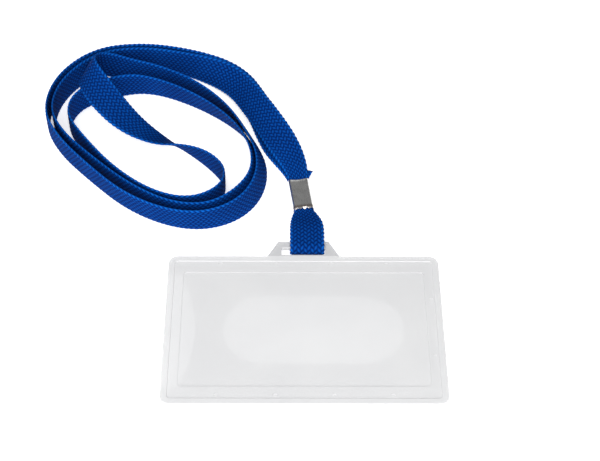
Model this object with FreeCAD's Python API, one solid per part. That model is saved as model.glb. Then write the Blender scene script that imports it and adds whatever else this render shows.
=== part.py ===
"""Badge holder on a neck lanyard: two welded plastic covers, a metal crimp and one flat braided strap.

Frame: the origin is at the bottom centre of the holder, which lies flat with its front cover up.
+X runs along the long side, +Y towards the hanging tab, +Z out of the front cover. Millimetres.
"""
import FreeCAD, Part
import math
import os

V = FreeCAD.Vector
UP = V(0, 0, 1)

# Holder
WIDTH = 98.0
HEIGHT = 64.0
THICKNESS = 3.4
CORNER_RADIUS = 3.5
TAB_REACH = 7.0
HOLDER_MID_Y = -TAB_REACH / 2

# Layers of the covers, as heights above the ground
REAR_RIM_BOTTOM = 0.0
REAR_PANEL_BOTTOM = 0.3
POCKET_FLOOR = 1.2
PARTING = 1.7
POCKET_ROOF = 2.2
WINDOW_TOP = 2.8
FIELD_TOP = 3.1

# Rims, pocket and front window
BEAD_WIDTH = 2.4
INNER_WIDTH = WIDTH - 2 * BEAD_WIDTH
INNER_HEIGHT = HEIGHT - 2 * BEAD_WIDTH
INNER_RADIUS = CORNER_RADIUS - BEAD_WIDTH
POCKET_HALF_HEIGHT = 27.6
POCKET_END_X = 44.0
WINDOW_WIDTH = 86.6
WINDOW_HEIGHT = 49.6
WINDOW_CORNER = 1.2
EDGE_SOFTENING = 0.25

# Rear cut-outs
STADIUM_LENGTH = 64.0
STADIUM_HEIGHT = 30.0
STADIUM_CENTRE = (3.4, 0.9)
NOTCH_TOP = (-44.4, 25.6)
NOTCH_DEEPEST = (-38.4, 0.9)
NOTCH_BOTTOM = (-43.6, -24.4)
NOTCH_CORNER = 1.5

# Weld pins
PIN_RADIUS = 0.8
PIN_BOTTOM = 0.5
PIN_TOP = 2.9
PIN_ROW_Y = 28.5
PIN_ROW_X = (-30.0, -10.0, 10.0, 30.0)
PIN_COLUMN_X = 45.4
PIN_COLUMN_Y = (-12.2, 12.2)

# Hanging tab
TAB_THICKNESS = 1.4
TAB_TOP_WIDTH = 18.2
TAB_BASE_WIDTH = 26.2
TAB_OVERLAP = 1.2
SLOT_WIDTH = 16.0
SLOT_HEIGHT = 3.2
BAR_HEIGHT = 3.2
BAR_EDGE_RADIUS = 0.5
TAB_BOTTOM = THICKNESS - TAB_THICKNESS
BAR_Y = HEIGHT / 2 + TAB_REACH - BAR_HEIGHT / 2
BAR_Z = TAB_BOTTOM + TAB_THICKNESS / 2

# Strap: flat along the neck loop, gathered where it enters the crimp
STRAP_WIDTH = 12.0
STRAP_THICKNESS = 1.1
GATHERED_WIDTH = 7.0
GATHERED_THICKNESS = 0.9
GATHER_LENGTH = 24.0

# Hanger loop: the strap's end round the tab's bar
LOOP_X = 1.4
LOOP_WIDTH = 12.5
BEND_INNER_RADIUS = 1.75
BEND_THICKNESS = 0.88
BEND_DROP = 1.0
LEG_LENGTH = 5.0
SHOULDER_LENGTH = 9.0
NECK_LENGTH = 1.0
LEGS_MEET_BELOW_CRIMP = 1.5
LEGS_TOUCH_BELOW_CRIMP = 3.5

# Crimp sleeve
CRIMP_WIDTH = 7.9
CRIMP_HEIGHT = 3.6
CRIMP_WALL = 0.4
CRIMP_EDGE_RADIUS = 0.9
CRIMP_BOTTOM = (0.25, 54.8)
CRIMP_TOP = (-1.8, 69.7)
CRIMP_Z = 2.1
CORE_WIDTH = CRIMP_WIDTH - 2 * CRIMP_WALL
CORE_HEIGHT = CRIMP_HEIGHT - 2 * CRIMP_WALL

# Cut end of the strap above the crimp: the far corners of its slanted cut, and its rise between the layers
TAIL_THICKNESS = 0.6
TAIL_LEFT = (-4.4, 76.4)
TAIL_RIGHT = (3.9, 74.5)
TAIL_START_Z = 2.1
TAIL_RISE = 0.108

# The strap halves: x, y, z and lean in degrees at each point of the route, from the crimp to where they meet.
# y counts from the middle of the covers. Lean turns the strap about its own line: 0 stands it on edge.
HALF_A = [
    (-1.8, 69.7, 1.2, -90),
    (-2.4, 74.0, 1.5, -88),
    (-5.7, 81.0, 2.2, -82),
    (-11.8, 91.5, 3.9, -60),
    (-17.6, 106.6, 5.6, -48),
    (-26.4, 122.7, 5.3, -42),
    (-45.0, 132.5, 6.3, -6),
    (-65.0, 136.6, 6.3, 0),
    (-84.0, 133.4, 6.3, 0),
    (-97.6, 118.9, 6.3, 0),
    (-101.5, 100.0, 6.3, 0),
    (-94.6, 85.4, 6.3, -2),
    (-82.7, 71.8, 6.3, -5),
    (-66.9, 56.2, 6.3, -7),
    (-50.2, 47.6, 6.3, -7),
    (-35.8, 46.2, 6.3, -5),
    (-23.4, 52.2, 6.3, 3),
    (-16.4, 63.4, 6.3, 14),
    (-15.4, 77.0, 6.3, 22),
    (-20.3, 89.9, 6.3, 23),
    (-28.8, 103.5, 6.3, 14),
    (-42.0, 115.5, 6.3, 4),
    (-57.0, 123.2, 6.4, 0),
    (-69.8, 126.6, 6.9, 0),
    (-79.6, 126.2, 10.2, 2),
    (-85.0, 120.4, 15.2, 20),
    (-84.6, 112.0, 18.0, 44),
    (-78.0, 101.9, 16.6, 74),
    (-68.2, 91.8, 12.2, 94),
    (-56.5, 86.0, 8.2, 116),
    (-45.8, 83.2, 6.6, 152),
    (-35.4, 76.8, 6.3, 176),
    (-28.8, 67.8, 6.3, 180),
    (-31.6, 58.6, 6.3, 184),
    (-42.4, 53.2, 6.3, 187),
    (-56.0, 57.0, 6.3, 187),
    (-71.0, 68.4, 6.3, 184),
    (-84.0, 84.4, 6.3, 182),
    (-91.6, 96.0, 6.3, 180),
    (-91.2, 105.0, 6.3, 180),
    (-85.4, 112.6, 6.3, 180),
    (-78.0, 115.6, 6.3, 180),
]
HALF_B = [
    (-1.8, 69.7, 3.0, -90),
    (-2.3, 74.0, 3.8, -88),
    (-4.9, 81.0, 5.0, -82),
    (-10.9, 92.1, 6.8, -62),
    (-18.6, 106.0, 7.5, -48),
    (-27.9, 121.8, 6.4, -42),
    (-45.4, 130.0, 6.3, -6),
    (-65.0, 134.4, 6.3, 0),
    (-82.5, 131.3, 6.3, 0),
    (-95.2, 117.5, 6.3, 0),
    (-99.1, 100.4, 6.3, 0),
    (-92.4, 87.1, 6.3, -2),
    (-80.4, 74.8, 6.3, -5),
    (-65.0, 60.8, 6.3, -7),
    (-49.5, 51.6, 6.3, -7),
    (-36.2, 50.2, 6.3, -5),
    (-26.4, 55.6, 6.3, 3),
    (-18.6, 65.1, 6.3, 14),
    (-17.1, 77.3, 6.3, 24),
    (-22.2, 90.8, 6.3, 24),
    (-32.4, 102.1, 6.3, 18),
    (-46.0, 111.8, 6.3, 13),
    (-60.0, 118.0, 6.3, 10),
    (-70.6, 118.6, 6.3, 2),
    (-78.0, 115.6, 6.3, 0),
]
ARC_SHARE = 0.45
ARC_STEP_DEG = 16.0

# Selecting edges
PARALLEL = 0.99
TOUCHING = 0.01


def edges_along(shape, axis):
    """The edges that start parallel to an axis."""
    return [e for e in shape.Edges if abs(e.tangentAt(e.FirstParameter).dot(axis)) > PARALLEL]


def rounded_plate(width, height, radius, z_low, z_high):
    """A flat plate with round corners, centred on the covers."""
    plate = Part.makeBox(width, height, z_high - z_low, V(-width / 2, HOLDER_MID_Y - height / 2, z_low))
    return plate.makeFillet(radius, edges_along(plate, UP))


def prism(points, z_low, z_high):
    """A solid with a flat outline given as (x, y) points, y from the middle of the covers."""
    corners = [V(x, y + HOLDER_MID_Y, z_low) for x, y in points]
    face = Part.Face(Part.makePolygon(corners + corners[:1]))
    return face.extrude(UP * (z_high - z_low))


def pocket():
    """The thin room for the card, open at the left end."""
    points = [
        (POCKET_END_X, -POCKET_HALF_HEIGHT),
        (POCKET_END_X, POCKET_HALF_HEIGHT),
        (-WIDTH, POCKET_HALF_HEIGHT),
        (-WIDTH, -POCKET_HALF_HEIGHT),
    ]
    return prism(points, POCKET_FLOOR, POCKET_ROOF)


def pin_centres():
    """Where the two covers are staked together."""
    rows = [(x, side * PIN_ROW_Y) for side in (1, -1) for x in PIN_ROW_X]
    column = [(PIN_COLUMN_X, y) for y in PIN_COLUMN_Y]
    return rows + column


def pins(z_low, z_high):
    """All pins as one compound of cylinders."""
    solids = []
    for x, y in pin_centres():
        foot = V(x, y + HOLDER_MID_Y, z_low)
        solids.append(Part.makeCylinder(PIN_RADIUS, z_high - z_low, foot))
    return Part.makeCompound(solids)


def tab():
    """The trapezoid hanging tab with its slot; the bar over the slot has round edges."""
    root = HEIGHT / 2
    points = [
        (-TAB_BASE_WIDTH / 2, root - TAB_OVERLAP),
        (TAB_BASE_WIDTH / 2, root - TAB_OVERLAP),
        (TAB_BASE_WIDTH / 2, root),
        (TAB_TOP_WIDTH / 2, root + TAB_REACH),
        (-TAB_TOP_WIDTH / 2, root + TAB_REACH),
        (-TAB_BASE_WIDTH / 2, root),
    ]
    body = prism(points, TAB_BOTTOM, THICKNESS)
    slot_top = root + TAB_REACH - BAR_HEIGHT
    slot_points = [
        (-SLOT_WIDTH / 2, slot_top - SLOT_HEIGHT),
        (SLOT_WIDTH / 2, slot_top - SLOT_HEIGHT),
        (SLOT_WIDTH / 2, slot_top),
        (-SLOT_WIDTH / 2, slot_top),
    ]
    body = body.cut(prism(slot_points, 0, 2 * THICKNESS))
    return body.makeFillet(BAR_EDGE_RADIUS, bar_edges(body))


def bar_edges(body):
    """The long edges of the bar that the strap hangs on."""
    reach = BAR_HEIGHT / 2 + TOUCHING
    along_x = edges_along(body, V(1, 0, 0))
    return [e for e in along_x if abs(e.CenterOfMass.y - HOLDER_MID_Y - BAR_Y) < reach]


def soften(solid, height, size):
    """Round the outer top or bottom edges that lie at one height."""
    low, high = height - TOUCHING, height + TOUCHING
    edges = [e for e in solid.Edges if e.BoundBox.ZMin > low and e.BoundBox.ZMax < high]
    return solid.makeFillet(size, edges)


def front_cover():
    """Front shell: panel, outer bead, thin window and the hanging tab."""
    shell = rounded_plate(WIDTH, HEIGHT, CORNER_RADIUS, PARTING, THICKNESS)
    field = rounded_plate(INNER_WIDTH, INNER_HEIGHT, INNER_RADIUS, FIELD_TOP, 2 * THICKNESS)
    window = rounded_plate(WINDOW_WIDTH, WINDOW_HEIGHT, WINDOW_CORNER, WINDOW_TOP, 2 * THICKNESS)
    shell = shell.cut(field)
    shell = soften(shell, THICKNESS, EDGE_SOFTENING)
    shell = shell.cut(window).cut(pocket())
    shell = shell.fuse(tab()).removeSplitter()
    return shell.cut(pins(0, 2 * THICKNESS))


def stadium(z_low, z_high):
    """The finger window of the rear cover."""
    x, y = STADIUM_CENTRE
    radius = STADIUM_HEIGHT / 2
    straight = STADIUM_LENGTH - STADIUM_HEIGHT
    depth = z_high - z_low
    corner = V(x - straight / 2, y - radius + HOLDER_MID_Y, z_low)
    middle = Part.makeBox(straight, STADIUM_HEIGHT, depth, corner)
    end_centres = [V(x + side * straight / 2, y + HOLDER_MID_Y, z_low) for side in (-1, 1)]
    ends = [Part.makeCylinder(radius, depth, centre) for centre in end_centres]
    return middle.fuse(ends).removeSplitter()


def thumb_notch(z_low, z_high):
    """The bow shaped cut at the card's entry side."""
    top = V(NOTCH_TOP[0], NOTCH_TOP[1] + HOLDER_MID_Y, z_low)
    deep = V(NOTCH_DEEPEST[0], NOTCH_DEEPEST[1] + HOLDER_MID_Y, z_low)
    bottom = V(NOTCH_BOTTOM[0], NOTCH_BOTTOM[1] + HOLDER_MID_Y, z_low)
    outer_top = V(-WIDTH, top.y, z_low)
    outer_bottom = V(-WIDTH, bottom.y, z_low)
    edges = [
        Part.LineSegment(outer_top, top).toShape(),
        Part.Arc(top, deep, bottom).toShape(),
        Part.LineSegment(bottom, outer_bottom).toShape(),
        Part.LineSegment(outer_bottom, outer_top).toShape(),
    ]
    solid = Part.Face(Part.Wire(edges)).extrude(UP * (z_high - z_low))
    inner = [e for e in edges_along(solid, UP) if e.CenterOfMass.x > -WIDTH / 2]
    return solid.makeFillet(NOTCH_CORNER, inner)


def rear_cover():
    """Rear shell: panel, rim, finger window and thumb notch."""
    shell = rounded_plate(WIDTH, HEIGHT, CORNER_RADIUS, REAR_RIM_BOTTOM, PARTING)
    recess = rounded_plate(INNER_WIDTH, INNER_HEIGHT, INNER_RADIUS, -THICKNESS, REAR_PANEL_BOTTOM)
    shell = soften(shell, REAR_RIM_BOTTOM, EDGE_SOFTENING)
    shell = shell.cut(recess).cut(pocket())
    shell = shell.cut(stadium(-THICKNESS, 2 * THICKNESS))
    shell = shell.cut(thumb_notch(-THICKNESS, 2 * THICKNESS))
    return shell.cut(pins(0, 2 * THICKNESS))


def crimp_axis():
    """Unit vector along the crimp, from the holder to the neck loop."""
    axis = V(CRIMP_TOP[0] - CRIMP_BOTTOM[0], CRIMP_TOP[1] - CRIMP_BOTTOM[1], 0)
    return axis.normalize()


def crimp_bar(width, height, edge_radius):
    """A bar with round long edges that lies along the crimp."""
    length = math.dist(CRIMP_BOTTOM, CRIMP_TOP)
    bar = Part.makeBox(width, length, height, V(-width / 2, 0, -height / 2))
    if edge_radius > 0:
        bar = bar.makeFillet(edge_radius, edges_along(bar, V(0, 1, 0)))
    angle = math.degrees(math.atan2(crimp_axis().y, crimp_axis().x)) - 90
    bar.rotate(V(0, 0, 0), UP, angle)
    bar.translate(V(CRIMP_BOTTOM[0], CRIMP_BOTTOM[1] + HOLDER_MID_Y, CRIMP_Z))
    return bar


def crimp_sleeve():
    """The folded metal sleeve."""
    outside = crimp_bar(CRIMP_WIDTH, CRIMP_HEIGHT, CRIMP_EDGE_RADIUS)
    return outside.cut(crimp_bar(CORE_WIDTH, CORE_HEIGHT, 0))


def loop_side_view():
    """Outer and inner outline of the hanger loop seen from the side, as two faces.

    It goes round the bar, and its two legs close together below the crimp and run through it.
    """
    bar_y = BAR_Y + HOLDER_MID_Y
    bend_y = bar_y - BEND_DROP
    outer = BEND_INNER_RADIUS + BEND_THICKNESS
    crimp_y = CRIMP_BOTTOM[1] + HOLDER_MID_Y
    straight_y = bar_y + LEG_LENGTH
    meet_y = crimp_y - LEGS_MEET_BELOW_CRIMP
    past_crimp_y = CRIMP_TOP[1] + HOLDER_MID_Y + CRIMP_HEIGHT
    core_low = CRIMP_Z - CORE_HEIGHT / 2
    core_high = CRIMP_Z + CORE_HEIGHT / 2
    x = LOOP_X - STRAP_WIDTH
    outside = [
        V(x, bend_y, BAR_Z + outer),
        V(x, straight_y, BAR_Z + outer),
        V(x, meet_y, core_high),
        V(x, past_crimp_y, core_high),
        V(x, past_crimp_y, core_low),
        V(x, meet_y, core_low),
        V(x, straight_y, BAR_Z - outer),
        V(x, bend_y, BAR_Z - outer),
    ]
    inside = [
        V(x, bend_y, BAR_Z + BEND_INNER_RADIUS),
        V(x, straight_y, BAR_Z + BEND_INNER_RADIUS),
        V(x, crimp_y - LEGS_TOUCH_BELOW_CRIMP, CRIMP_Z),
        V(x, straight_y, BAR_Z - BEND_INNER_RADIUS),
        V(x, bend_y, BAR_Z - BEND_INNER_RADIUS),
    ]
    return (
        Part.Face(bend_outline(outside, V(x, bend_y - outer, BAR_Z))),
        Part.Face(bend_outline(inside, V(x, bend_y - BEND_INNER_RADIUS, BAR_Z))),
    )


def bend_outline(points, bend_point):
    """Straight edges through the points, closed by the round bend."""
    edges = [Part.LineSegment(a, b).toShape() for a, b in zip(points, points[1:])]
    edges.append(Part.Arc(points[-1], bend_point, points[0]).toShape())
    return Part.Wire(edges)


def crimp_corners(place):
    """Left and right corner of the crimp's inside at one of its ends, as (x, y)."""
    across = V(crimp_axis().y, -crimp_axis().x, 0) * (CORE_WIDTH / 2)
    return (place.x - across.x, place.y - across.y), (place.x + across.x, place.y + across.y)


def hanger_loop():
    """The strap's end: round the tab's bar and back, pressed together inside the crimp."""
    outside, inside = loop_side_view()
    sweep = V(2 * STRAP_WIDTH, 0, 0)
    loop = outside.extrude(sweep).cut(inside.extrude(sweep))
    foot = V(*CRIMP_BOTTOM, 0)
    neck_left, neck_right = crimp_corners(foot - crimp_axis() * NECK_LENGTH)
    head_left, head_right = crimp_corners(V(*CRIMP_TOP, 0))
    left = LOOP_X - LOOP_WIDTH / 2
    right = LOOP_X + LOOP_WIDTH / 2
    below_bar = BAR_Y - STRAP_WIDTH
    shoulder = foot.y - SHOULDER_LENGTH
    points = [
        (left, below_bar),
        (right, below_bar),
        (right, shoulder),
        neck_right,
        head_right,
        head_left,
        neck_left,
        (left, shoulder),
    ]
    return loop.common(prism(points, -THICKNESS, 3 * THICKNESS))


def strap_tail():
    """The strap's slanted cut end, which stands out of the crimp between the two layers of the neck loop."""
    near_y = CRIMP_TOP[1] + HOLDER_MID_Y - CRIMP_HEIGHT
    far_y = TAIL_LEFT[1] + HOLDER_MID_Y + CRIMP_HEIGHT
    start_y = CRIMP_TOP[1] + HOLDER_MID_Y
    x = LOOP_X - STRAP_WIDTH
    half = TAIL_THICKNESS / 2
    near_z = TAIL_START_Z + TAIL_RISE * (near_y - start_y)
    far_z = TAIL_START_Z + TAIL_RISE * (far_y - start_y)
    corners = [
        V(x, near_y, near_z - half),
        V(x, far_y, far_z - half),
        V(x, far_y, far_z + half),
        V(x, near_y, near_z + half),
    ]
    layer = Part.Face(Part.makePolygon(corners + corners[:1])).extrude(V(2 * STRAP_WIDTH, 0, 0))
    left, right = crimp_corners(V(*CRIMP_TOP, 0))
    return layer.common(prism([left, right, TAIL_RIGHT, TAIL_LEFT], -THICKNESS, 3 * THICKNESS))


def rounded_path(points):
    """Edges of a path of straight runs joined by tangent arcs, and the arc radii."""
    edges = []
    radii = []
    start = points[0]
    for before, corner, after in zip(points, points[1:], points[2:]):
        to_before = before - corner
        to_after = after - corner
        cut = ARC_SHARE * min(to_before.Length, to_after.Length)
        turn = math.pi - to_before.getAngle(to_after)
        radii.append(cut / math.tan(turn / 2))
        to_before.normalize()
        to_after.normalize()
        arc_start = corner + to_before * cut
        arc_end = corner + to_after * cut
        inward = (to_before + to_after).normalize()
        centre = corner + inward * (radii[-1] / math.cos(turn / 2))
        arc_middle = centre - inward * radii[-1]
        edges.append(Part.LineSegment(start, arc_start).toShape())
        edges.append(Part.Arc(arc_start, arc_middle, arc_end).toShape())
        start = arc_end
    edges.append(Part.LineSegment(start, points[-1]).toShape())
    return edges, radii


def stations(edges):
    """Points and directions along the path, with the distance from its start."""
    found = []
    travelled = 0.0
    for edge in edges:
        first, last = edge.FirstParameter, edge.LastParameter
        is_arc = isinstance(edge.Curve, Part.Circle)
        steps = max(2, math.ceil(math.degrees(last - first) / ARC_STEP_DEG)) if is_arc else 1
        for step in range(steps + 1):
            share = step / steps
            if step == 0 and found:
                continue
            at = first + (last - first) * share
            found.append((edge.valueAt(at), edge.tangentAt(at), travelled + edge.Length * share))
        travelled += edge.Length
    return found


def point_distances(edges):
    """Distance along the path of each route point: its ends and the middle of each arc."""
    distances = [0.0]
    travelled = 0.0
    for edge in edges:
        if isinstance(edge.Curve, Part.Circle):
            distances.append(travelled + edge.Length / 2)
        travelled += edge.Length
    distances.append(travelled)
    return distances


def interpolate(distances, values, at):
    """A value between two route points."""
    for index in range(len(distances) - 1):
        if at <= distances[index + 1]:
            share = (at - distances[index]) / (distances[index + 1] - distances[index])
            return values[index] + (values[index + 1] - values[index]) * share
    return values[-1]


def section(place, direction, lean, width, thickness):
    """Four corners of the strap's section at one station."""
    left = UP.cross(direction).normalize()
    over = direction.cross(left).normalize()
    wide = over * math.cos(math.radians(lean)) + left * math.sin(math.radians(lean))
    thick = direction.cross(wide).normalize()
    half_wide = wide * (width / 2)
    half_thick = thick * (thickness / 2)
    return [
        place + half_wide + half_thick,
        place - half_wide + half_thick,
        place - half_wide - half_thick,
        place + half_wide - half_thick,
    ]


def triangle(a, b, c):
    """A flat face with three corners."""
    return Part.Face(Part.makePolygon([a, b, c, a]))


def gathered(tight, full, distance):
    """A size that grows from its value in the crimp to its full value over the gather length."""
    share = min(distance / GATHER_LENGTH, 1.0)
    return full - (full - tight) * (1 - share) ** 2


def end_faces(ring):
    """The flat end of the strap."""
    return [triangle(*ring[:3]), triangle(ring[0], ring[2], ring[3])]


def side_faces(ring, following):
    """The four long sides between two sections; both wide sides are split along the same diagonal."""
    faces = []
    for side in (0, 1):
        other = side + 1
        faces.append(triangle(ring[side], ring[other], following[other]))
        faces.append(triangle(ring[side], following[other], following[side]))
    for side in (2, 3):
        other = (side + 1) % 4
        faces.append(triangle(ring[side], ring[other], following[side]))
        faces.append(triangle(ring[other], following[other], following[side]))
    return faces


def strap(name, route):
    """A flat strap along its route, as a closed solid."""
    points = [V(x, y + HOLDER_MID_Y, z) for x, y, z, lean in route]
    edges, radii = rounded_path(points)
    corner_distances = point_distances(edges)
    leans = [row[3] for row in route]
    rings = []
    sizes = []
    for place, direction, at in stations(edges):
        lean = interpolate(corner_distances, leans, at)
        width = gathered(GATHERED_WIDTH, STRAP_WIDTH, at)
        thickness = gathered(GATHERED_THICKNESS, STRAP_THICKNESS, at)
        rings.append(section(place, direction, lean, width, thickness))
        sizes.append((at, width * thickness))
    faces = end_faces(rings[0]) + end_faces(rings[-1])
    for ring, following in zip(rings, rings[1:]):
        faces += side_faces(ring, following)
    solid = Part.Solid(Part.Shell(faces))
    if solid.Volume < 0:
        solid.reverse()
    report(name, solid, sizes, radii)
    return solid


def report(name, solid, sizes, radii):
    """Print the arc radii, and the volume against section times length."""
    expected = 0.0
    for (near, near_area), (far, far_area) in zip(sizes, sizes[1:]):
        expected += (far - near) * (near_area + far_area) / 2
    print(name, "length", round(sizes[-1][0], 1), "valid", solid.isValid(), "closed", solid.isClosed())
    print("  arc radii", [round(radius, 1) for radius in radii])
    print("  volume", round(solid.Volume, 1), "section times length", round(expected, 1))


def build():
    """Every sub-part by name."""
    return {
        "front_cover": front_cover(),
        "rear_cover": rear_cover(),
        "weld_pins": pins(PIN_BOTTOM, PIN_TOP),
        "crimp_sleeve": crimp_sleeve(),
        "hanger_loop": hanger_loop(),
        "strap_tail": strap_tail(),
        "strap_half_a": strap("strap_half_a", HALF_A),
        "strap_half_b": strap("strap_half_b", HALF_B),
    }


os.makedirs("parts", exist_ok=True)
for node, shape in build().items():
    shape.exportStep("parts/" + node + ".step")
    box = shape.BoundBox
    low = [round(v, 2) for v in (box.XMin, box.YMin, box.ZMin)]
    high = [round(v, 2) for v in (box.XMax, box.YMax, box.ZMax)]
    print(node, "solids", len(shape.Solids), "valid", shape.isValid(), "volume", round(shape.Volume, 1))
    print("  from", low, "to", high)
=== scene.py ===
"""Looks of the badge holder: frosted covers, braided strap, folded crimp, studio and camera."""
import math
import bpy
import numpy as np
from mathutils import Matrix, Vector


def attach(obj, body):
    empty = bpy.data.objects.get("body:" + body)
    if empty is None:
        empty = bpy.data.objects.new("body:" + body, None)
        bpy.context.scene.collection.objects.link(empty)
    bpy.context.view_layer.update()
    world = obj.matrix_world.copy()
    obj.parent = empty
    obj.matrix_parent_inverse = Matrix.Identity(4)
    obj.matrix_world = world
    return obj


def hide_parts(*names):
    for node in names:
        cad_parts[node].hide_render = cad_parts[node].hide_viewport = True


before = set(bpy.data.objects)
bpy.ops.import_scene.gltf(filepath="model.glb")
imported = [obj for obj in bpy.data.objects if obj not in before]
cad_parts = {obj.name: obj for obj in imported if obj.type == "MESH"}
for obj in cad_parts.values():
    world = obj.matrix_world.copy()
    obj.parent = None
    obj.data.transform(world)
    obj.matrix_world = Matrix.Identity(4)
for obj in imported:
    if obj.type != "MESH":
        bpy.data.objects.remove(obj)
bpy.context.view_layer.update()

MM = 0.001
scene = bpy.context.scene

# ---------------------------------------------------------------- camera
CAMERA_AT = (-6.5 * MM, -303.6 * MM, 411.5 * MM)
CAMERA_PITCH = math.radians(49.84)
CAMERA_YAW = math.radians(0.88)
CAMERA_ROLL = math.radians(0.81)
CAMERA_LENS = 86.55
SENSOR_WIDTH = 36.0
CAMERA_NEAR = 0.01


def make_camera():
    """A camera above and in front of the holder, looking down at it."""
    data = bpy.data.cameras.new("camera")
    data.sensor_fit = "HORIZONTAL"
    data.sensor_width = SENSOR_WIDTH
    data.lens = CAMERA_LENS
    data.clip_start = CAMERA_NEAR
    camera = bpy.data.objects.new("camera", data)
    turn = Matrix.Rotation(-CAMERA_YAW, 4, "Z")
    tilt = Matrix.Rotation(math.pi / 2 - CAMERA_PITCH, 4, "X")
    roll = Matrix.Rotation(CAMERA_ROLL, 4, "Z")
    camera.matrix_world = Matrix.Translation(CAMERA_AT) @ turn @ tilt @ roll
    scene.collection.objects.link(camera)
    scene.camera = camera


make_camera()

# ---------------------------------------------------------------- strap route
STRAP_WIDTH = 12.0 * MM
STRAP_THICKNESS = 1.1 * MM
GATHERED_WIDTH = 7.0 * MM
GATHERED_THICKNESS = 0.9 * MM
GATHER_LENGTH = 24.0 * MM
CURVE_RESOLUTION = 32

# The frame's y of the middle of the covers, in millimetres.
MID_Y = -3.5

# x, y, z in millimetres and lean in degrees at each point; y counts from the middle of the covers.
HALF_A = [
    (-1.8, 69.7, 1.2, -90), (-2.4, 74.0, 1.5, -88), (-5.7, 81.0, 2.2, -82), (-11.8, 91.5, 3.9, -60),
    (-17.6, 106.6, 5.6, -48), (-26.4, 122.7, 5.3, -42), (-45.0, 132.5, 6.3, -6), (-65.0, 136.6, 6.3, 0),
    (-84.0, 133.4, 6.3, 0), (-97.6, 118.9, 6.3, 0), (-101.5, 100.0, 6.3, 0), (-94.6, 85.4, 6.3, -2),
    (-82.7, 71.8, 6.3, -5), (-66.9, 56.2, 6.3, -7), (-50.2, 47.6, 6.3, -7), (-35.8, 46.2, 6.3, -5),
    (-23.4, 52.2, 6.3, 3), (-16.4, 63.4, 6.3, 14), (-15.4, 77.0, 6.3, 22), (-20.3, 89.9, 6.3, 23),
    (-28.8, 103.5, 6.3, 14), (-42.0, 115.5, 6.3, 4), (-57.0, 123.2, 6.4, 0), (-69.8, 126.6, 6.9, 0),
    (-79.6, 126.2, 10.2, 2), (-85.0, 120.4, 15.2, 20), (-84.6, 112.0, 18.0, 44), (-78.0, 101.9, 16.6, 74),
    (-68.2, 91.8, 12.2, 94), (-56.5, 86.0, 8.2, 116), (-45.8, 83.2, 6.6, 152), (-35.4, 76.8, 6.3, 176),
    (-28.8, 67.8, 6.3, 180), (-31.6, 58.6, 6.3, 184), (-42.4, 53.2, 6.3, 187), (-56.0, 57.0, 6.3, 187),
    (-71.0, 68.4, 6.3, 184), (-84.0, 84.4, 6.3, 182), (-91.6, 96.0, 6.3, 180), (-91.2, 105.0, 6.3, 180),
    (-85.4, 112.6, 6.3, 180), (-78.0, 115.6, 6.3, 180),
]
HALF_B = [
    (-1.8, 69.7, 3.0, -90), (-2.3, 74.0, 3.8, -88), (-4.9, 81.0, 5.0, -82), (-10.9, 92.1, 6.8, -62),
    (-18.6, 106.0, 7.5, -48), (-27.9, 121.8, 6.4, -42), (-45.4, 130.0, 6.3, -6), (-65.0, 134.4, 6.3, 0),
    (-82.5, 131.3, 6.3, 0), (-95.2, 117.5, 6.3, 0), (-99.1, 100.4, 6.3, 0), (-92.4, 87.1, 6.3, -2),
    (-80.4, 74.8, 6.3, -5), (-65.0, 60.8, 6.3, -7), (-49.5, 51.6, 6.3, -7), (-36.2, 50.2, 6.3, -5),
    (-26.4, 55.6, 6.3, 3), (-18.6, 65.1, 6.3, 14), (-17.1, 77.3, 6.3, 24), (-22.2, 90.8, 6.3, 24),
    (-32.4, 102.1, 6.3, 18), (-46.0, 111.8, 6.3, 13), (-60.0, 118.0, 6.3, 10), (-70.6, 118.6, 6.3, 2),
    (-78.0, 115.6, 6.3, 0),
]


def place(x, y, z):
    """A point of the frame in metres, from millimetres with y counted from the middle of the covers."""
    return np.array((x, y + MID_Y, z)) * MM


def unit(rows):
    """Each row scaled to length one."""
    return rows / np.linalg.norm(rows, axis=-1, keepdims=True)


def square_to(along, rows):
    """Each row without its part along the line, scaled to length one."""
    return unit(rows - along * np.sum(rows * along, axis=1, keepdims=True))


def nurbs_line(name, points):
    """Points along the smooth NURBS spline that has these control points."""
    data = bpy.data.curves.new(name, "CURVE")
    data.dimensions = "3D"
    data.resolution_u = CURVE_RESOLUTION
    spline = data.splines.new("NURBS")
    spline.points.add(len(points) - 1)
    for point, at in zip(spline.points, points):
        point.co = (*at, 1.0)
    spline.order_u = 3
    spline.use_endpoint_u = True
    curve = bpy.data.objects.new(name, data)
    scene.collection.objects.link(curve)
    mesh = bpy.data.meshes.new_from_object(curve)
    found = np.array([v.co[:] for v in mesh.vertices])
    bpy.data.objects.remove(curve)
    bpy.data.curves.remove(data)
    bpy.data.meshes.remove(mesh)
    return found


def strap_lines(name, route):
    """Centre line and one edge line of a strap half, both smooth."""
    centre = np.array([place(x, y, z) for x, y, z, lean in route])
    lean = np.radians([row[3] for row in route])[:, None]
    along = unit(np.gradient(centre, axis=0))
    left = unit(np.cross((0.0, 0.0, 1.0), along))
    over = np.cross(along, left)
    edge = centre + (over * np.cos(lean) + left * np.sin(lean)) * STRAP_WIDTH / 2
    return nurbs_line(name + "_line", centre), nurbs_line(name + "_edge", edge)


# ---------------------------------------------------------------- braid
RING_STEP = 0.35 * MM
COLUMNS = 10
POINTS_PER_COLUMN = 3
STITCH = 1.9 * MM
STITCH_LEAN = 0.5
STITCH_REACH = 0.68
STITCH_SHARPNESS = 0.6
RIB_FLOOR = 0.3
RIB_POWER = 0.5
BRAID_DEPTH = 0.17 * MM
EDGE_SCALLOP = 0.02
SCALLOP_POWER = 8
RIM_POWER = 6
# Painted highlight along the strap's edges: how strong it is and how fast it falls off.
RIM_HIGHLIGHT = 0.75
RIM_HIGHLIGHT_POWER = 10.0


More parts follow.
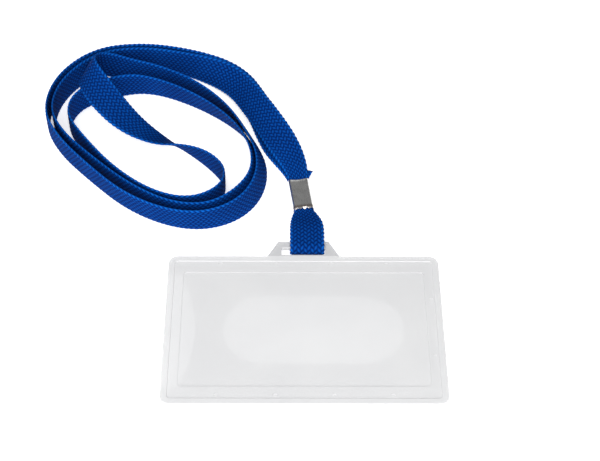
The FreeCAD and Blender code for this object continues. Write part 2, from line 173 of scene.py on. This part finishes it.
def stitch_height(column, run):
    """Height of the plait, 0 in its creases to 1 on its stitches.

    Column and run count columns across and stitches along. Stitches lean one way in even columns and the
    other way in odd ones, half a stitch further on. A shallow crease runs between the columns.
    """
    home = np.floor(column)
    best = np.zeros(np.broadcast(column, run).shape)
    for step in (-1, 0, 1):
        odd = np.mod(home + step, 2)
        across = column - home - step - 0.5
        swell = np.sqrt(np.clip(1 - (across / STITCH_REACH) ** 2, 0, 1))
        phase = run - odd / 2 - (1 - 2 * odd) * STITCH_LEAN * across
        ridge = (0.5 + 0.5 * np.cos(2 * math.pi * phase)) ** STITCH_SHARPNESS
        best = np.maximum(best, swell * ridge)
    rib = np.abs(np.sin(math.pi * column)) ** RIB_POWER
    return best * (RIB_FLOOR + (1 - RIB_FLOOR) * rib)


def resample(line, step):
    """Even distances along a line, and a function that reads any matching line at them."""
    travelled = np.r_[0, np.cumsum(np.linalg.norm(np.diff(line, axis=0), axis=1))]
    distance = np.linspace(0, travelled[-1], int(travelled[-1] / step) + 1)

    def at(values):
        return np.stack([np.interp(distance, travelled, values[:, k]) for k in range(3)], axis=1)

    return distance, at


def braid(name, left, right, thickness, distance):
    """A flat tubular braid between two edge lines, raised by its stitches on both faces."""
    centre = (left + right) / 2
    half = (right - left) / 2
    along = unit(np.gradient(centre, axis=0))
    thick = unit(np.cross(along, half))
    per_face = COLUMNS * POINTS_PER_COLUMN
    over = np.linspace(-1, 1, per_face + 1)
    across = np.r_[over, over[-2:0:-1]]
    side = np.r_[np.ones(per_face + 1), -np.ones(per_face - 1)]
    column = (across + 1) / 2 * COLUMNS
    run = distance / STITCH
    height = stitch_height(column[None, :], run[:, None])
    rim = np.sqrt(np.clip(1 - np.abs(across) ** RIM_POWER, 0, 1))
    body = thickness[:, None] / 2 - BRAID_DEPTH
    offset = (body + BRAID_DEPTH * height) * rim * side
    wave = np.cos(2 * math.pi * run[:, None])
    reach = across[None, :] * (1 + EDGE_SCALLOP * across[None, :] ** SCALLOP_POWER * wave)
    verts = centre[:, None, :] + half[:, None, :] * reach[..., None] + thick[:, None, :] * offset[..., None]
    return ring_mesh(name, verts, column, run)


def smooth_piece(name, grid, faces, uv_map, u, v):
    """A smooth mesh object from a grid of points, with one UV map given at the same points."""
    mesh = bpy.data.meshes.new(name)
    mesh.from_pydata(grid.reshape(-1, 3).tolist(), [], faces)
    shape = grid.shape[:2]
    per_vertex = np.stack([np.broadcast_to(u, shape), np.broadcast_to(v, shape)], axis=-1).reshape(-1, 2)
    corner = np.empty(len(mesh.loops), dtype=np.int32)
    mesh.loops.foreach_get("vertex_index", corner)
    layer = mesh.uv_layers.new(name=uv_map)
    layer.data.foreach_set("uv", per_vertex[corner].ravel())
    mesh.shade_smooth()
    piece = bpy.data.objects.new(name, mesh)
    scene.collection.objects.link(piece)
    return piece


def ring_mesh(name, verts, column, run):
    """Skin the rings with quads, close both ends, and lay out UVs in columns and stitches."""
    rings, around = verts.shape[:2]
    first = np.arange(rings * around).reshape(rings, around)
    second = np.roll(first, -1, axis=1)
    quads = np.stack([first[:-1], second[:-1], second[1:], first[1:]], axis=-1).reshape(-1, 4)
    caps = [first[0, ::-1].tolist(), first[-1].tolist()]
    return smooth_piece(name, verts, quads.tolist() + caps, "braid", column, run[:, None])


def gathered(tight, full, distance, gather_length):
    """A size that grows from its value in the crimp to its full value over the gather length."""
    share = np.clip(distance / gather_length, 0, 1)
    return full - (full - tight) * (1 - share) ** 2


def belongs(piece, node, material):
    """A strap piece: it moves with the lanyard and stands for its CAD node."""
    piece.data.materials.append(material)
    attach(piece, "lanyard")
    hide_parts(node)


def strap_half(name, route, node, material):
    """One half of the neck loop."""
    line, edge = strap_lines(name, route)
    distance, at = resample(line, RING_STEP)
    centre = at(line)
    along = unit(np.gradient(centre, axis=0))
    wide = square_to(along, at(edge) - centre)
    half = wide * gathered(GATHERED_WIDTH, STRAP_WIDTH, distance, GATHER_LENGTH)[:, None] / 2
    thickness = gathered(GATHERED_THICKNESS, STRAP_THICKNESS, distance, GATHER_LENGTH)
    piece = braid(name, centre - half, centre + half, thickness, distance)
    belongs(piece, node, material)
    print(name, "spline length", round(float(distance[-1]), 4))


# ---------------------------------------------------------------- materials
WHITE = (1, 1, 1, 1)
FINE_RELIEF = 0.02 * MM
FIBRE_SCALE = 1500.0
FIBRE_DETAIL = 4.0
FIBRE_TONE = 0.34
FIBRE_RELIEF = 0.35
DYE_SCALE = 90.0
DYE_DETAIL = 2.0
DYE_TONE = 0.3
BRAID_ROUGHNESS = 0.85
BRAID_SPECULAR = 0.03
BRAID_BUMP = 0.6

# The braid's tone runs from 0 to the tone range; the colours are placed along it, as shares. The darkest
# stops carry painted shade in the creases; the lightest carry the stitch tops and the painted highlight along
# the edges.
TONE_RANGE = 1.5
BRAID_COLOURS = (
    (0.03, (0.0002, 0.009, 0.065)),
    (0.30, (0.0004, 0.023, 0.145)),
    (0.63, (0.0009, 0.052, 0.275)),
    (0.97, (0.0030, 0.115, 0.48)),
)


def new_material(name):
    """A new node material, its node tree and its shader."""
    material = bpy.data.materials.new(name)
    material.use_nodes = True
    tree = material.node_tree
    return material, tree, tree.nodes["Principled BSDF"]


def math_node(tree, kind, *values):
    """A math node; a value is a number or another node's output."""
    node = tree.nodes.new("ShaderNodeMath")
    node.operation = kind
    for socket, value in zip(node.inputs, values):
        if isinstance(value, (int, float)):
            socket.default_value = value
        else:
            tree.links.new(value, socket)
    return node.outputs[0]


def uv_vector(tree, layer):
    """The coordinates of a UV map."""
    uv = tree.nodes.new("ShaderNodeUVMap")
    uv.uv_map = layer
    return uv.outputs[0]


def object_vector(tree):
    """The coordinates in object space, in metres."""
    coords = tree.nodes.new("ShaderNodeTexCoord")
    return coords.outputs["Object"]


def split(tree, vector):
    """The first two parts of a vector."""
    parts = tree.nodes.new("ShaderNodeSeparateXYZ")
    tree.links.new(vector, parts.inputs[0])
    return parts.outputs[0], parts.outputs[1]


def rim_highlight_nodes(tree):
    """Painted highlight: one at both edges of the strap, falling to zero between them."""
    column = split(tree, uv_vector(tree, "braid"))[0]
    across = math_node(tree, "MULTIPLY_ADD", column, 2.0 / COLUMNS, -1.0)
    return math_node(tree, "POWER", math_node(tree, "ABSOLUTE", across), RIM_HIGHLIGHT_POWER)


def plait_nodes(tree):
    """The same plait as stitch_height, as nodes that read the braid's UV map."""
    column, run = split(tree, uv_vector(tree, "braid"))
    home = math_node(tree, "FLOOR", column)
    best = None
    for step in (-1.0, 0.0, 1.0):
        neighbour = math_node(tree, "ADD", home, step)
        odd = math_node(tree, "FLOORED_MODULO", neighbour, 2.0)
        across = math_node(tree, "SUBTRACT", math_node(tree, "SUBTRACT", column, neighbour), 0.5)
        share = math_node(tree, "DIVIDE", across, STITCH_REACH)
        room = math_node(tree, "SUBTRACT", 1.0, math_node(tree, "MULTIPLY", share, share))
        swell = math_node(tree, "SQRT", math_node(tree, "MAXIMUM", room, 0.0))
        way = math_node(tree, "MULTIPLY_ADD", odd, -2.0, 1.0)
        lean = math_node(tree, "MULTIPLY", math_node(tree, "MULTIPLY", way, across), STITCH_LEAN)
        phase = math_node(tree, "SUBTRACT", math_node(tree, "MULTIPLY_ADD", odd, -0.5, run), lean)
        wave = math_node(tree, "COSINE", math_node(tree, "MULTIPLY", phase, 2 * math.pi))
        wave = math_node(tree, "MULTIPLY_ADD", wave, 0.5, 0.5)
        ridge = math_node(tree, "POWER", wave, STITCH_SHARPNESS)
        height = math_node(tree, "MULTIPLY", swell, ridge)
        best = height if best is None else math_node(tree, "MAXIMUM", best, height)
    rib = math_node(tree, "SINE", math_node(tree, "MULTIPLY", column, math.pi))
    rib = math_node(tree, "POWER", math_node(tree, "ABSOLUTE", rib), RIB_POWER)
    return math_node(tree, "MULTIPLY", best, math_node(tree, "MULTIPLY_ADD", rib, 1 - RIB_FLOOR, RIB_FLOOR))


def noise_node(tree, vector, scale, detail):
    """A noise texture over the given coordinates."""
    noise = tree.nodes.new("ShaderNodeTexNoise")
    noise.inputs["Scale"].default_value = scale
    noise.inputs["Detail"].default_value = detail
    tree.links.new(vector, noise.inputs["Vector"])
    return noise.outputs[0]


def ramp_node(tree, factor, stops):
    """A colour ramp with the given (position, colour) stops."""
    node = tree.nodes.new("ShaderNodeValToRGB")
    ramp = node.color_ramp
    for element, (position, colour) in zip(ramp.elements, (stops[0], stops[-1])):
        element.position = position
        element.color = (*colour, 1)
    for position, colour in stops[1:-1]:
        ramp.elements.new(position).color = (*colour, 1)
    tree.links.new(factor, node.inputs[0])
    return node.outputs[0]


def add_bump(tree, shader, height, strength, distance):
    """Fine relief on the shader's normal."""
    bump = tree.nodes.new("ShaderNodeBump")
    bump.inputs["Strength"].default_value = strength
    bump.inputs["Distance"].default_value = distance
    tree.links.new(height, bump.inputs["Height"])
    tree.links.new(bump.outputs[0], shader.inputs["Normal"])


def braid_material():
    """Royal blue polyester: matt yarn with uneven dye, painted shade in its creases and a painted highlight
    along its edges.
    """
    material, tree, shader = new_material("blue_braid")
    plait = plait_nodes(tree)
    fibre = noise_node(tree, object_vector(tree), FIBRE_SCALE, FIBRE_DETAIL)
    dye = noise_node(tree, object_vector(tree), DYE_SCALE, DYE_DETAIL)
    tone = math_node(tree, "MULTIPLY_ADD", fibre, FIBRE_TONE, -FIBRE_TONE / 2)
    tone = math_node(tree, "ADD", tone, math_node(tree, "MULTIPLY_ADD", dye, DYE_TONE, -DYE_TONE / 2))
    # Painted shade: the plait's creases darken the colour as well as the relief.
    tone = math_node(tree, "ADD", plait, tone)
    # Painted highlight: the colour is lighter along both edges of the strap.
    tone = math_node(tree, "MULTIPLY_ADD", rim_highlight_nodes(tree), RIM_HIGHLIGHT, tone)
    colour = ramp_node(tree, math_node(tree, "MULTIPLY", tone, 1 / TONE_RANGE), BRAID_COLOURS)
    tree.links.new(colour, shader.inputs["Base Color"])
    shader.inputs["Roughness"].default_value = BRAID_ROUGHNESS
    shader.inputs["Specular IOR Level"].default_value = BRAID_SPECULAR
    relief = math_node(tree, "MULTIPLY_ADD", fibre, FIBRE_RELIEF, plait)
    add_bump(tree, shader, relief, BRAID_BUMP, BRAID_DEPTH)
    return material


BRAID = braid_material()
strap_half("neck_strap_a", HALF_A, "strap_half_a", BRAID)
strap_half("neck_strap_b", HALF_B, "strap_half_b", BRAID)

# ---------------------------------------------------------------- hanger loop and cut end
CRIMP_BOTTOM = (0.25, 54.8)
CRIMP_TOP = (-1.8, 69.7)
CRIMP_Z = 2.1
HANGER_X = 1.4
LOOP_WIDTH = 12.5 * MM
HANGER_THICKNESS = 0.95 * MM
HANGER_GATHER_LENGTH = 11.0 * MM
TAIL_LEFT = (-4.4, 76.4)
TAIL_RIGHT = (3.9, 74.5)
TAIL_THICKNESS = 0.6 * MM
TAIL_LOW = 2.15
TAIL_HIGH = 2.8

# x, y, z in millimetres, from the crimp over the tab's bar, through the slot and back under it.
HANGER_ROUTE = [
    (-1.2, 66.0, 2.60), (-0.3, 59.0, 2.60), (0.25, 54.8, 2.60), (0.75, 50.6, 3.30), (1.25, 46.4, 4.50),
    (HANGER_X, 42.6, 4.88), (HANGER_X, 39.4, 4.86), (HANGER_X, 34.25, 4.86), (HANGER_X, 34.25, 0.56),
    (HANGER_X, 39.4, 0.56), (HANGER_X, 42.6, 0.60), (1.25, 46.4, 0.85), (0.75, 50.6, 1.35),
    (0.25, 54.8, 1.60), (-0.3, 59.0, 1.60), (-1.2, 66.0, 1.60),
]


def hanger(material):
    """The strap's end folded round the tab's bar, both legs gathered into the crimp."""
    line = nurbs_line("hanger_line", [place(*point) for point in HANGER_ROUTE])
    distance, at = resample(line, RING_STEP)
    centre = at(line)
    along = unit(np.gradient(centre, axis=0))
    # The same way across on both legs, although they run opposite ways.
    swing = along[:, :1] * np.sign(along[:, 1:2])
    across = unit(np.concatenate([np.ones_like(swing), -swing, np.zeros_like(swing)], axis=1))
    across = square_to(along, across)
    below_crimp = place(0, CRIMP_BOTTOM[1], 0)[1] - centre[:, 1]
    width = gathered(GATHERED_WIDTH, LOOP_WIDTH, below_crimp, HANGER_GATHER_LENGTH)
    half = across * width[:, None] / 2
    thickness = np.full(len(distance), HANGER_THICKNESS)
    piece = braid("hanger_braid", centre - half, centre + half, thickness, distance)
    belongs(piece, "hanger_loop", material)


def tail(material):
    """The strap's slanted cut end, between the two layers above the crimp."""
    near_centre = place(*CRIMP_TOP, TAIL_LOW)
    axis = unit(np.array((CRIMP_TOP[0] - CRIMP_BOTTOM[0], CRIMP_TOP[1] - CRIMP_BOTTOM[1], 0.0)))
    across = np.array((axis[1], -axis[0], 0.0)) * GATHERED_WIDTH / 2
    near_left, near_right = near_centre - across, near_centre + across
    far_left, far_right = place(*TAIL_LEFT, TAIL_HIGH), place(*TAIL_RIGHT, TAIL_HIGH)
    length = float(np.linalg.norm((far_left + far_right) / 2 - near_centre))
    distance = np.linspace(0, length, int(length / RING_STEP) + 1)
    share = (distance / length)[:, None]
    left = near_left + (far_left - near_left) * share
    right = near_right + (far_right - near_right) * share
    piece = braid("strap_end", left, right, np.full(len(distance), TAIL_THICKNESS), distance)
    belongs(piece, "strap_tail", material)


hanger(BRAID)
tail(BRAID)

# ---------------------------------------------------------------- crimp
CRIMP_HALF_WIDTH = 3.95
CRIMP_HALF_HEIGHT = 1.8
CRIMP_CORNER = 1.3
CRIMP_WALL = 0.35 * MM
CRIMP_BULGE = 0.12
BULGE_POWER = 3
SEAM_HALF_GAP = 0.18
FLAT_STEPS = 44
CORNER_STEPS = 8
LENGTH_STEPS = 46
STEP_CROWDING = 1.15
CRIMP_EDGE = 0.08 * MM
CRIMP_EDGE_SEGMENTS = 2
CRIMP_EDGE_ANGLE = math.radians(60)

# The mouth at the strap end, and how much of its dip the rear wall has.
MOUTH_DIP = 0.85
MOUTH_DIP_REAR = 0.35
FLARE_LENGTH = 1.0
FLARE_DEPTH = 0.13

# The teeth at the holder end; the shortest tooth and the least curl are shares of the largest.
CURL_LENGTH = 1.5
CURL_DEPTH = 0.34
CURL_LEAST = 0.25
TOOTH_PITCH = 1.75
TOOTH_SHIFT = TOOTH_PITCH / 4
TOOTH_HEIGHT = 1.0
TOOTH_SHORTEST = 0.6
TOOTH_END_BOW = 0.25
UNEVEN_STEP = 2.4
UNEVEN_START = 0.9

# Metal
BRUSH_STRETCH = (60.0, 2.0, 1.0)
BRUSH_SCALE = 3.0
BRUSH_DETAIL = 6.0
BRUSH_ROUGHNESS = 0.18
BRUSH_BUMP = 0.35
STAIN_SCALE = 420.0
STAIN_DETAIL = 3.0
STAIN_SHARE = 0.6
METAL_ROUGHNESS = 0.2
METAL_COLOURS = (
    (0.3, (0.66, 0.66, 0.65)),
    (0.7, (0.93, 0.93, 0.92)),
)
# Painted shade: a dark brownish band behind the curled teeth, as shares of the sheet's length.
TEETH_SHADE = (
    (0.03, (1.0, 0.96, 0.93)),
    (0.07, (0.45, 0.38, 0.35)),
    (0.14, (1.0, 1.0, 1.0)),
)


def crimp_outline():
    """Points (x, z) of the section: from the rear seam round the left side, the front and the right side."""
    flat_x = CRIMP_HALF_WIDTH - CRIMP_CORNER
    flat_z = CRIMP_HALF_HEIGHT - CRIMP_CORNER
    points = [(x, -CRIMP_HALF_HEIGHT) for x in np.linspace(-SEAM_HALF_GAP, -flat_x, FLAT_STEPS // 2)]
    for cx, cz, start in ((-flat_x, -flat_z, 270), (-flat_x, flat_z, 180)):
        for angle in np.radians(np.linspace(start, start - 90, CORNER_STEPS + 1)[1:]):
            points.append((cx + CRIMP_CORNER * math.cos(angle), cz + CRIMP_CORNER * math.sin(angle)))
    points += [(x, CRIMP_HALF_HEIGHT) for x in np.linspace(-flat_x, 0, FLAT_STEPS // 2 + 1)[1:]]
    points = np.array(points)
    mirrored = points[-2::-1] * (-1, 1)
    return np.concatenate([points, mirrored])


def crimp_sheet():
    """Grid of points of the folded sheet: a dipped mouth at the strap end, curled teeth at the holder end."""
    outline = crimp_outline()
    x, z = outline[:, 0], outline[:, 1]
    length = math.dist(CRIMP_BOTTOM, CRIMP_TOP)
    crown = 1 - (x / CRIMP_HALF_WIDTH) ** 2
    front = np.clip(z / CRIMP_HALF_HEIGHT, 0, 1)
    place_in_row = (x + TOOTH_SHIFT) / TOOTH_PITCH
    tooth = np.abs(place_in_row % 1.0 - 0.5) * 2
    uneven = 0.5 + 0.5 * np.sin(np.floor(place_in_row) * UNEVEN_STEP + UNEVEN_START)
    tooth_share = TOOTH_SHORTEST + (1 - TOOTH_SHORTEST) * uneven
    low = TOOTH_HEIGHT * tooth * tooth_share * crown * front - TOOTH_END_BOW * crown
    high = length - MOUTH_DIP * crown * (MOUTH_DIP_REAR + (1 - MOUTH_DIP_REAR) * front)
    v = np.linspace(0, 1, LENGTH_STEPS + 1)[:, None] ** STEP_CROWDING
    along = low + (high - low) * v
    curl_share = CURL_LEAST + (1 - CURL_LEAST) * uneven
    curl = np.clip(1 - along / CURL_LENGTH, 0, 1) ** 2 * CURL_DEPTH * crown * curl_share
    flare = np.clip(1 - (high - along) / FLARE_LENGTH, 0, 1) ** 2 * FLARE_DEPTH
    bulge = CRIMP_BULGE * crown * np.sign(z) * np.abs(z / CRIMP_HALF_HEIGHT) ** BULGE_POWER
    rise = z * (1 - curl + flare) + bulge
    angle = math.atan2(-(CRIMP_TOP[0] - CRIMP_BOTTOM[0]), CRIMP_TOP[1] - CRIMP_BOTTOM[1])
    across = np.broadcast_to(x, along.shape)
    grid_x = CRIMP_BOTTOM[0] + across * math.cos(angle) - along * math.sin(angle)
    grid_y = CRIMP_BOTTOM[1] + across * math.sin(angle) + along * math.cos(angle)
    return np.stack([grid_x, grid_y + MID_Y, CRIMP_Z + rise], axis=-1) * MM, along


def crimp_material():
    """Nickel plated steel, finely brushed along its length, with painted shade, dark and brownish, in a band
    behind the curled teeth.
    """
    material, tree, shader = new_material("crimp_metal")
    sheet = uv_vector(tree, "sheet")
    stretch = tree.nodes.new("ShaderNodeMapping")
    stretch.inputs["Scale"].default_value = BRUSH_STRETCH
    tree.links.new(sheet, stretch.inputs[0])
    brush = noise_node(tree, stretch.outputs[0], BRUSH_SCALE, BRUSH_DETAIL)
    stain = noise_node(tree, object_vector(tree), STAIN_SCALE, STAIN_DETAIL)
    stain = math_node(tree, "MULTIPLY", stain, STAIN_SHARE)
    mixed = math_node(tree, "MULTIPLY_ADD", brush, 1 - STAIN_SHARE, stain)
    plain = ramp_node(tree, mixed, METAL_COLOURS)
    # Painted shade: the metal's colour is darkened just behind the teeth.
    edge = ramp_node(tree, split(tree, sheet)[1], TEETH_SHADE)
    shaded_metal = tree.nodes.new("ShaderNodeMix")
    shaded_metal.data_type = "RGBA"
    shaded_metal.blend_type = "MULTIPLY"
    shaded_metal.inputs["Factor"].default_value = 1.0
    tree.links.new(plain, shaded_metal.inputs["A"])
    tree.links.new(edge, shaded_metal.inputs["B"])
    tree.links.new(shaded_metal.outputs["Result"], shader.inputs["Base Color"])
    shader.inputs["Metallic"].default_value = 1.0
    rough = math_node(tree, "MULTIPLY_ADD", brush, BRUSH_ROUGHNESS, METAL_ROUGHNESS)
    tree.links.new(rough, shader.inputs["Roughness"])
    add_bump(tree, shader, brush, BRUSH_BUMP, FINE_RELIEF)
    return material


def crimp():
    """The folded metal sleeve: one bent sheet with a rear seam, given its wall by a modifier."""
    grid, along = crimp_sheet()
    rows, columns = grid.shape[:2]
    index = np.arange(rows * columns).reshape(rows, columns)
    quads = np.stack([index[:-1, :-1], index[:-1, 1:], index[1:, 1:], index[1:, :-1]], axis=-1).reshape(-1, 4)
    v = along / math.dist(CRIMP_BOTTOM, CRIMP_TOP)
    piece = smooth_piece("crimp", grid, quads.tolist(), "sheet", np.linspace(0, 1, columns), v)
    wall = piece.modifiers.new("wall", "SOLIDIFY")
    wall.thickness = CRIMP_WALL
    wall.offset = -1.0
    wall.use_even_offset = True
    edges = piece.modifiers.new("edges", "BEVEL")
    edges.width = CRIMP_EDGE
    edges.segments = CRIMP_EDGE_SEGMENTS
    edges.limit_method = "ANGLE"
    edges.angle_limit = CRIMP_EDGE_ANGLE
    piece.data.materials.append(crimp_material())
    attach(piece, "lanyard")
    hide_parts("crimp_sleeve")


crimp()

# ---------------------------------------------------------------- plastic
# Alpha and painted glow of each node. The glow is painted light: an emission that keeps a buried piece
# looking lit instead of dark under the plastic around it.
PLASTIC_LOOKS = {"front_cover": (0.70, 0.0), "rear_cover": (0.34, 0.0), "weld_pins": (0.5, 0.24)}
PLASTIC_COLOURS = (
    (0.02, (0.51, 0.512, 0.524)),
    (0.30, (0.655, 0.657, 0.667)),
    (0.70, (0.68, 0.682, 0.688)),
)
# Beyond this y the tab gets painted shade: its colour is pushed darker.
TAB_ROOT = 28.6 * MM
TAB_SHADE = -0.6
GRAIN_SCALE = 1800.0
GRAIN_DETAIL = 3.0
GRAIN_ROUGHNESS = 0.12
GRAIN_BUMP = 0.12
CLOUD_SCALE = 38.0
CLOUD_DETAIL = 3.0
PLASTIC_ROUGHNESS = 0.12
PLASTIC_IOR = 1.49


def plastic_material(name, alpha, painted_glow):
    """Frosted polypropylene: milky, see-through in layers, with a fine grain, painted shade that makes the
    tab greyer, and a painted glow where one is given.
    """
    material, tree, shader = new_material(name)
    grain = noise_node(tree, object_vector(tree), GRAIN_SCALE, GRAIN_DETAIL)
    cloud = noise_node(tree, object_vector(tree), CLOUD_SCALE, CLOUD_DETAIL)
    on_tab = math_node(tree, "GREATER_THAN", split(tree, object_vector(tree))[1], TAB_ROOT)
    # Painted shade: the colour is darker on the tab.
    colour = ramp_node(tree, math_node(tree, "MULTIPLY_ADD", on_tab, TAB_SHADE, cloud), PLASTIC_COLOURS)
    tree.links.new(colour, shader.inputs["Base Color"])
    rough = math_node(tree, "MULTIPLY_ADD", grain, GRAIN_ROUGHNESS, PLASTIC_ROUGHNESS)
    tree.links.new(rough, shader.inputs["Roughness"])
    shader.inputs["Alpha"].default_value = alpha
    shader.inputs["Emission Color"].default_value = WHITE
    # Painted light: the glow makes the piece shine by itself.
    shader.inputs["Emission Strength"].default_value = painted_glow
    shader.inputs["IOR"].default_value = PLASTIC_IOR
    add_bump(tree, shader, grain, GRAIN_BUMP, FINE_RELIEF)
    return material


for node, (alpha, painted_glow) in PLASTIC_LOOKS.items():
    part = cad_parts[node]
    part.data.materials.clear()
    part.data.materials.append(plastic_material("frosted_" + node, alpha, painted_glow))

# ---------------------------------------------------------------- studio
FLOOR_HALF = 3.0
WORLD_LEVEL = 0.2
FLOOR_GLOW = 0.46
FLOOR_COLOUR = (0.93, 0.93, 0.93, 1)
FLOOR_ROUGHNESS = 0.95
FLOOR_SPECULAR = 0.1
LIGHT_TARGET = (0, 0.05, 0)
SOFTBOX_SIZE = 0.9
SOFTBOX_AT = (-0.08, -0.34, 0.72)
SOFTBOX_WATTS = 8.2
FRONT_SIZE = 0.6
FRONT_AT = (-0.05, -0.62, 0.42)
FRONT_WATTS = 5.0


def floor():
    """A plain pale floor."""
    mesh = bpy.data.meshes.new("floor")
    corners = [(-FLOOR_HALF, -FLOOR_HALF, 0), (FLOOR_HALF, -FLOOR_HALF, 0), (FLOOR_HALF, FLOOR_HALF, 0),
               (-FLOOR_HALF, FLOOR_HALF, 0)]
    mesh.from_pydata(corners, [], [(0, 1, 2, 3)])
    piece = bpy.data.objects.new("floor", mesh)
    scene.collection.objects.link(piece)
    material, tree, shader = new_material("floor")
    shader.inputs["Base Color"].default_value = FLOOR_COLOUR
    shader.inputs["Roughness"].default_value = FLOOR_ROUGHNESS
    shader.inputs["Specular IOR Level"].default_value = FLOOR_SPECULAR
    shader.inputs["Emission Color"].default_value = WHITE
    shader.inputs["Emission Strength"].default_value = FLOOR_GLOW
    mesh.materials.append(material)


def softbox(name, at, size, watts):
    """A square area light that faces the light target."""
    data = bpy.data.lights.new(name, "AREA")
    data.size = size
    data.energy = watts
    light = bpy.data.objects.new(name, data)
    light.location = at
    light.rotation_euler = (Vector(LIGHT_TARGET) - Vector(at)).to_track_quat("-Z", "Y").to_euler()
    scene.collection.objects.link(light)


def studio():
    """White surround, one large softbox overhead and a weaker one in front."""
    world = bpy.data.worlds.new("studio")
    world.use_nodes = True
    background = world.node_tree.nodes["Background"]
    background.inputs["Color"].default_value = WHITE
    background.inputs["Strength"].default_value = WORLD_LEVEL
    scene.world = world
    softbox("overhead", SOFTBOX_AT, SOFTBOX_SIZE, SOFTBOX_WATTS)
    softbox("front", FRONT_AT, FRONT_SIZE, FRONT_WATTS)
    scene.view_settings.view_transform = "Standard"


floor()
studio()
